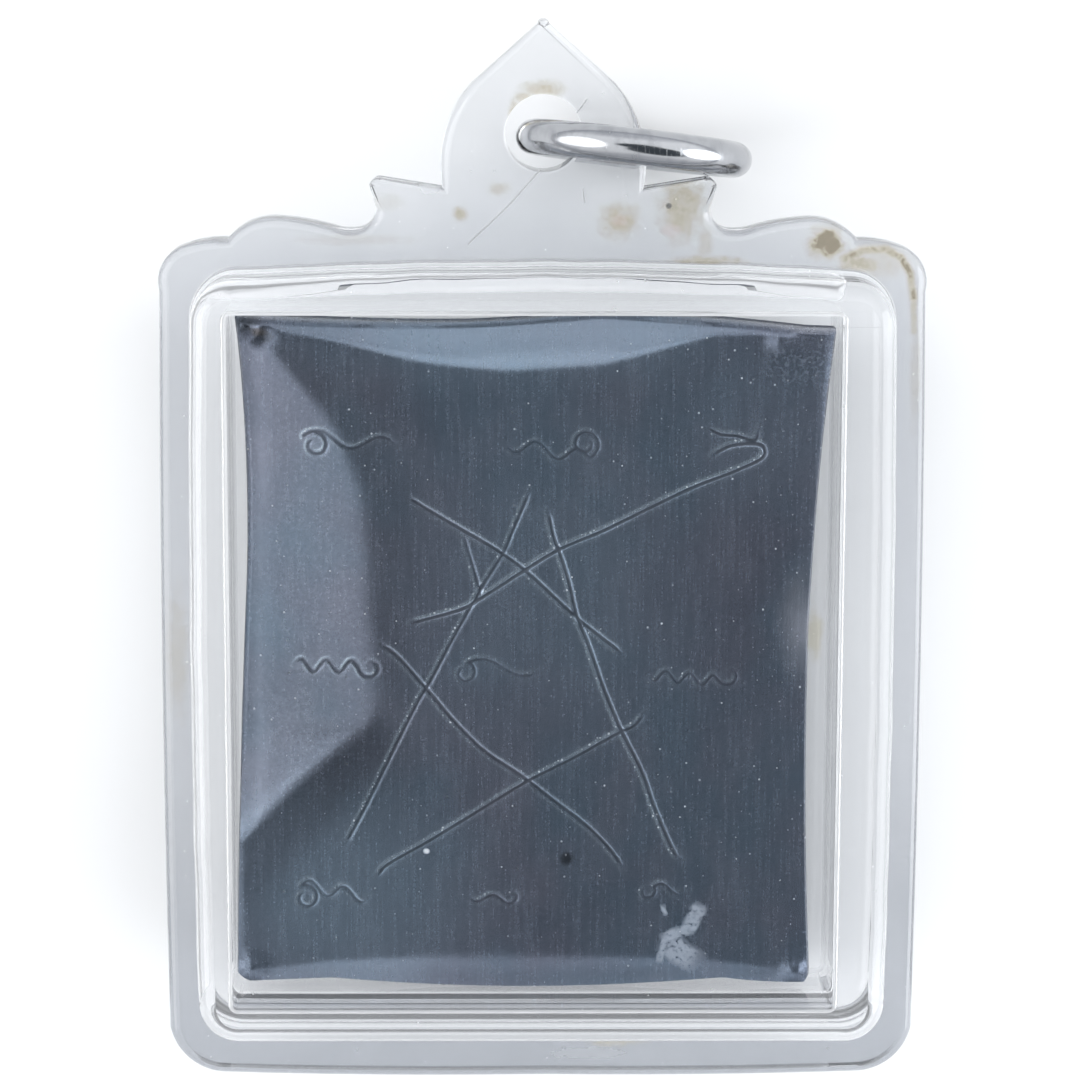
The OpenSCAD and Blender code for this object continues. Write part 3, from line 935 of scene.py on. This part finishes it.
# Where the lead gets painted shade on its left slope, where it is nearly black and where it is rubbed
# brighter, with a painted sheen on the upper slope:
# middle, half width, half height, strength
PAINTED_SLOPE_SHADE = [
    (-13.0, -6.0, 5.0, 10.0, 0.5), (-15.4, 0.0, 1.7, 19.0, 0.5), (-12.5, 3.0, 5.0, 14.0, 0.42)]
DARK_SPOTS = [
    (1.3, -11.1, 0.3, 0.3, 0.8), (-15.1, 17.0, 0.75, 0.45, 0.7), (-14.2, 16.3, 0.5, 0.3, 0.6)]
# The row on the upper slope is a painted sheen; the others are lighter rubbed places
WORN_AND_PAINTED_SHEEN = [
    (-10.0, -13.0, 6.0, 4.5, 1.45), (0.5, 3.0, 6.5, 7.5, 0.75), (-1.0, 16.2, 9.0, 2.2, 1.1),
    (11.0, 12.0, 3.5, 4.0, 0.7)]
# A painted reflection on the fold at the right edge: middle, half width, half height
PAINTED_FOLD_REFLECTION = (13.5, 1.3, 0.9, 2.2)
# Strokes of a pale smear: two ends, half width
SMEAR = [
    (8.3, -13.8, 7.7, -14.9, 0.5), (7.7, -14.9, 6.5, -15.4, 0.4), (6.8, -15.8, 7.8, -16.5, 0.85),
    (6.5, -15.4, 6.2, -16.6, 0.25), (6.4, -13.7, 6.5, -14.1, 0.18)]
# Painted shade in a valley that runs to the lower left corner: two ends, half width
PAINTED_VALLEY_SHADE = (-8.6, -4.6, -15.6, -12.6, 1.9)


def steel():
    made, bench = material("bright_ring_steel")
    place, parts = millimetres(bench)
    fine = bench.noise(place, 6.0, 4.0, 0.6)
    wear = bench.between(bench.noise(place, 0.9, 3.0, 0.6), 0.45, 0.7)
    base = bench.mix(wear, (0.43, 0.44, 0.46), (0.36, 0.37, 0.39))
    hair = hairlines(bench, place, 0.3, 14.0, 0.62)
    rough = 0.11 + wear * 0.07 + hair * 0.1 + fine * 0.04
    relief = fine * 0.03 - hair * 0.02
    bump = bench.node("Bump", {}, {"Strength": 0.25, "Distance": 0.2 * MM, "Height": relief})
    surface = bench.node("BsdfPrincipled", {}, {
        "Base Color": base, "Metallic": 1.0, "Roughness": rough, "Normal": bump})
    bench.node("OutputMaterial", {}, {"Surface": surface})
    return made


def table_top():
    made, bench = material("pale_table")
    place, _ = millimetres(bench)
    tone = bench.noise(place, 0.02, 2.0, 0.5)
    base = bench.mix(tone, (0.86, 0.86, 0.87), (0.9, 0.9, 0.9))
    surface = bench.node("BsdfPrincipled", {}, {"Base Color": base, "Roughness": 0.6})
    bench.node("OutputMaterial", {}, {"Surface": surface})
    return made


# The pieces

def finish(piece, surfaces, slot, *nodes):
    for surface in surfaces:
        piece.data.materials.append(surface)
    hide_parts(*nodes)


inside = acrylic_inside("clear_acrylic_inside", 1.0)
milky = acrylic_inside("clear_acrylic_cell_floor", 0.48)
seam = acrylic_inside("clear_acrylic_seam", 0.78)
wall = acrylic_inside("clear_acrylic_cell_wall", 0.68)
behind = acrylic_back()
# Both shells: flange and rim, the window's inner face, the box, the seam and the cell's walls
front_surfaces = (acrylic_front(), inside, acrylic_window(), inside, wall)
back_surfaces = (behind, milky, inside, seam, wall)
finish(shell("front_shell_clear", 1), front_surfaces, "clear_acrylic", "front_shell")
finish(shell("back_shell_clear", -1), back_surfaces, "clear_acrylic", "back_shell")
finish(takrut(), (lead(),), "lead", "takrut_sheet")
finish(jump_ring(), (steel(),), "ring_steel", "jump_ring")


# Studio

# Half the table's width in millimetres, and the point in metres that the lamps face
FLOOR, LAMPS_AIM = 1500, (0, 0, 0.005)


def studio():
    table = Mould()
    corners = [(-FLOOR, -FLOOR), (FLOOR, -FLOOR), (FLOOR, FLOOR), (-FLOOR, FLOOR)]
    table.faces.append(tuple(table.ring(corners, 0)))
    mesh = bpy.data.meshes.new("table")
    mesh.from_pydata([[c * MM for c in p] for p in table.points], [], table.faces)
    floor = bpy.data.objects.new("table", mesh)
    bpy.context.scene.collection.objects.link(floor)
    mesh.materials.append(table_top())
    floor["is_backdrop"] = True

    world = bpy.data.worlds.new("light_tent")
    bpy.context.scene.world = world
    bench = Bench(world)
    way = bench.node("TexCoord", out="Generated")
    parts = [bench.node("SeparateXYZ", {}, {0: way}, axis) for axis in range(3)]
    # Grey near the table, a bright band from left to right above, and two dark places that are mirrored
    band = bench.between(parts[1].size(), 0.6, 0.9, 1.0, 0.0)
    tone = bench.mix(band, (0.74, 0.76, 0.8), (1.22, 1.24, 1.26))
    tone = bench.mix(bench.between(parts[2], 0.0, 0.3), (0.5, 0.52, 0.56), tone)
    for x, y, wide, high in DARK_PLACES:
        away = (((parts[0] - x) / wide) ** 2 + ((parts[1] - y) / high) ** 2).root()
        tone = bench.mix(bench.between(away, 0.9, 1.12), (0.075, 0.09, 0.105), tone)
    sky = bench.node("Background", {}, {"Color": tone, "Strength": 1.08 + 0.15 * parts[1] + 0.06 * parts[0]})
    bench.node("OutputWorld", {}, {"Surface": sky})

    for name, place, size, power, tone in LAMPS:
        light = bpy.data.lights.new(name, "AREA")
        light.shape, light.size, light.energy, light.color = "DISK", size, power, tone
        lamp = bpy.data.objects.new(name, light)
        lamp.location = place
        lamp.rotation_euler = (Vector(LAMPS_AIM) - Vector(place)).to_track_quat("-Z", "Y").to_euler()
        bpy.context.scene.collection.objects.link(lamp)


# Middle and half sizes of the dark places, in the x and y of the directions to them
DARK_PLACES = [(0.28, -0.24, 0.46, 0.38), (0.05, 0.08, 0.38, 0.2)]
# Name, place, size and power in metres and watts, and colour
LAMPS = [
    ("lamp_left", (-0.66, 0.0, 0.46), 0.8, 2.55, (1.0, 0.99, 0.97)),
    ("lamp_right", (0.65, -0.07, 0.27), 0.62, 2.45, (0.96, 0.98, 1.0))]


# The lens, the picture and the point in millimetres that the camera aims at
SENSOR, FOCAL_PIXELS, PICTURE_PIXELS, SHIFT_PIXELS = 36, 3762.1, 1080, 3
AIM = (-0.105, 5.5, 5.0)


def look():
    """The camera stands where the photograph was taken."""
    view = bpy.data.cameras.new("view")
    view.sensor_width, view.lens = SENSOR, FOCAL_PIXELS / PICTURE_PIXELS * SENSOR
    view.clip_start, view.clip_end = 0.01, 20
    pan, tilt, roll, reach = math.radians(-0.73), math.radians(10), math.radians(0.148), 194.5
    back = Vector((math.sin(pan), math.sin(tilt) * math.cos(pan), math.cos(tilt) * math.cos(pan)))
    back.normalize()
    right = Vector((0, 1, 0)).cross(back).normalized()
    up = back.cross(right)
    right, up = (right * math.cos(roll) + up * math.sin(roll), up * math.cos(roll) - right * math.sin(roll))
    # The picture's middle lies a little above the point that the fit turned about
    view.shift_y = SHIFT_PIXELS / PICTURE_PIXELS
    at = Vector(AIM) + back * reach
    turn = Matrix((right, up, back)).transposed().to_4x4()
    camera = bpy.data.objects.new("view", view)
    camera.matrix_world = Matrix.Translation(at * MM) @ turn
    bpy.context.scene.collection.objects.link(camera)
    bpy.context.scene.camera = camera
    bpy.context.scene.view_settings.view_transform = "Standard"
    # Light that passes the case and falls back on it is left to the lamps
    light = bpy.context.scene.cycles
    light.caustics_reflective = light.caustics_refractive = False
    light.max_bounces, light.diffuse_bounces, light.glossy_bounces = 6, 1, 2
    light.transmission_bounces, light.transparent_max_bounces = 6, 8
    # Two lamps and a sky are sampled more quickly without it
    light.use_light_tree = False


studio()
look()

[[list(map(float, corner)) for corner in box] for box in (cad_box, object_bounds())]
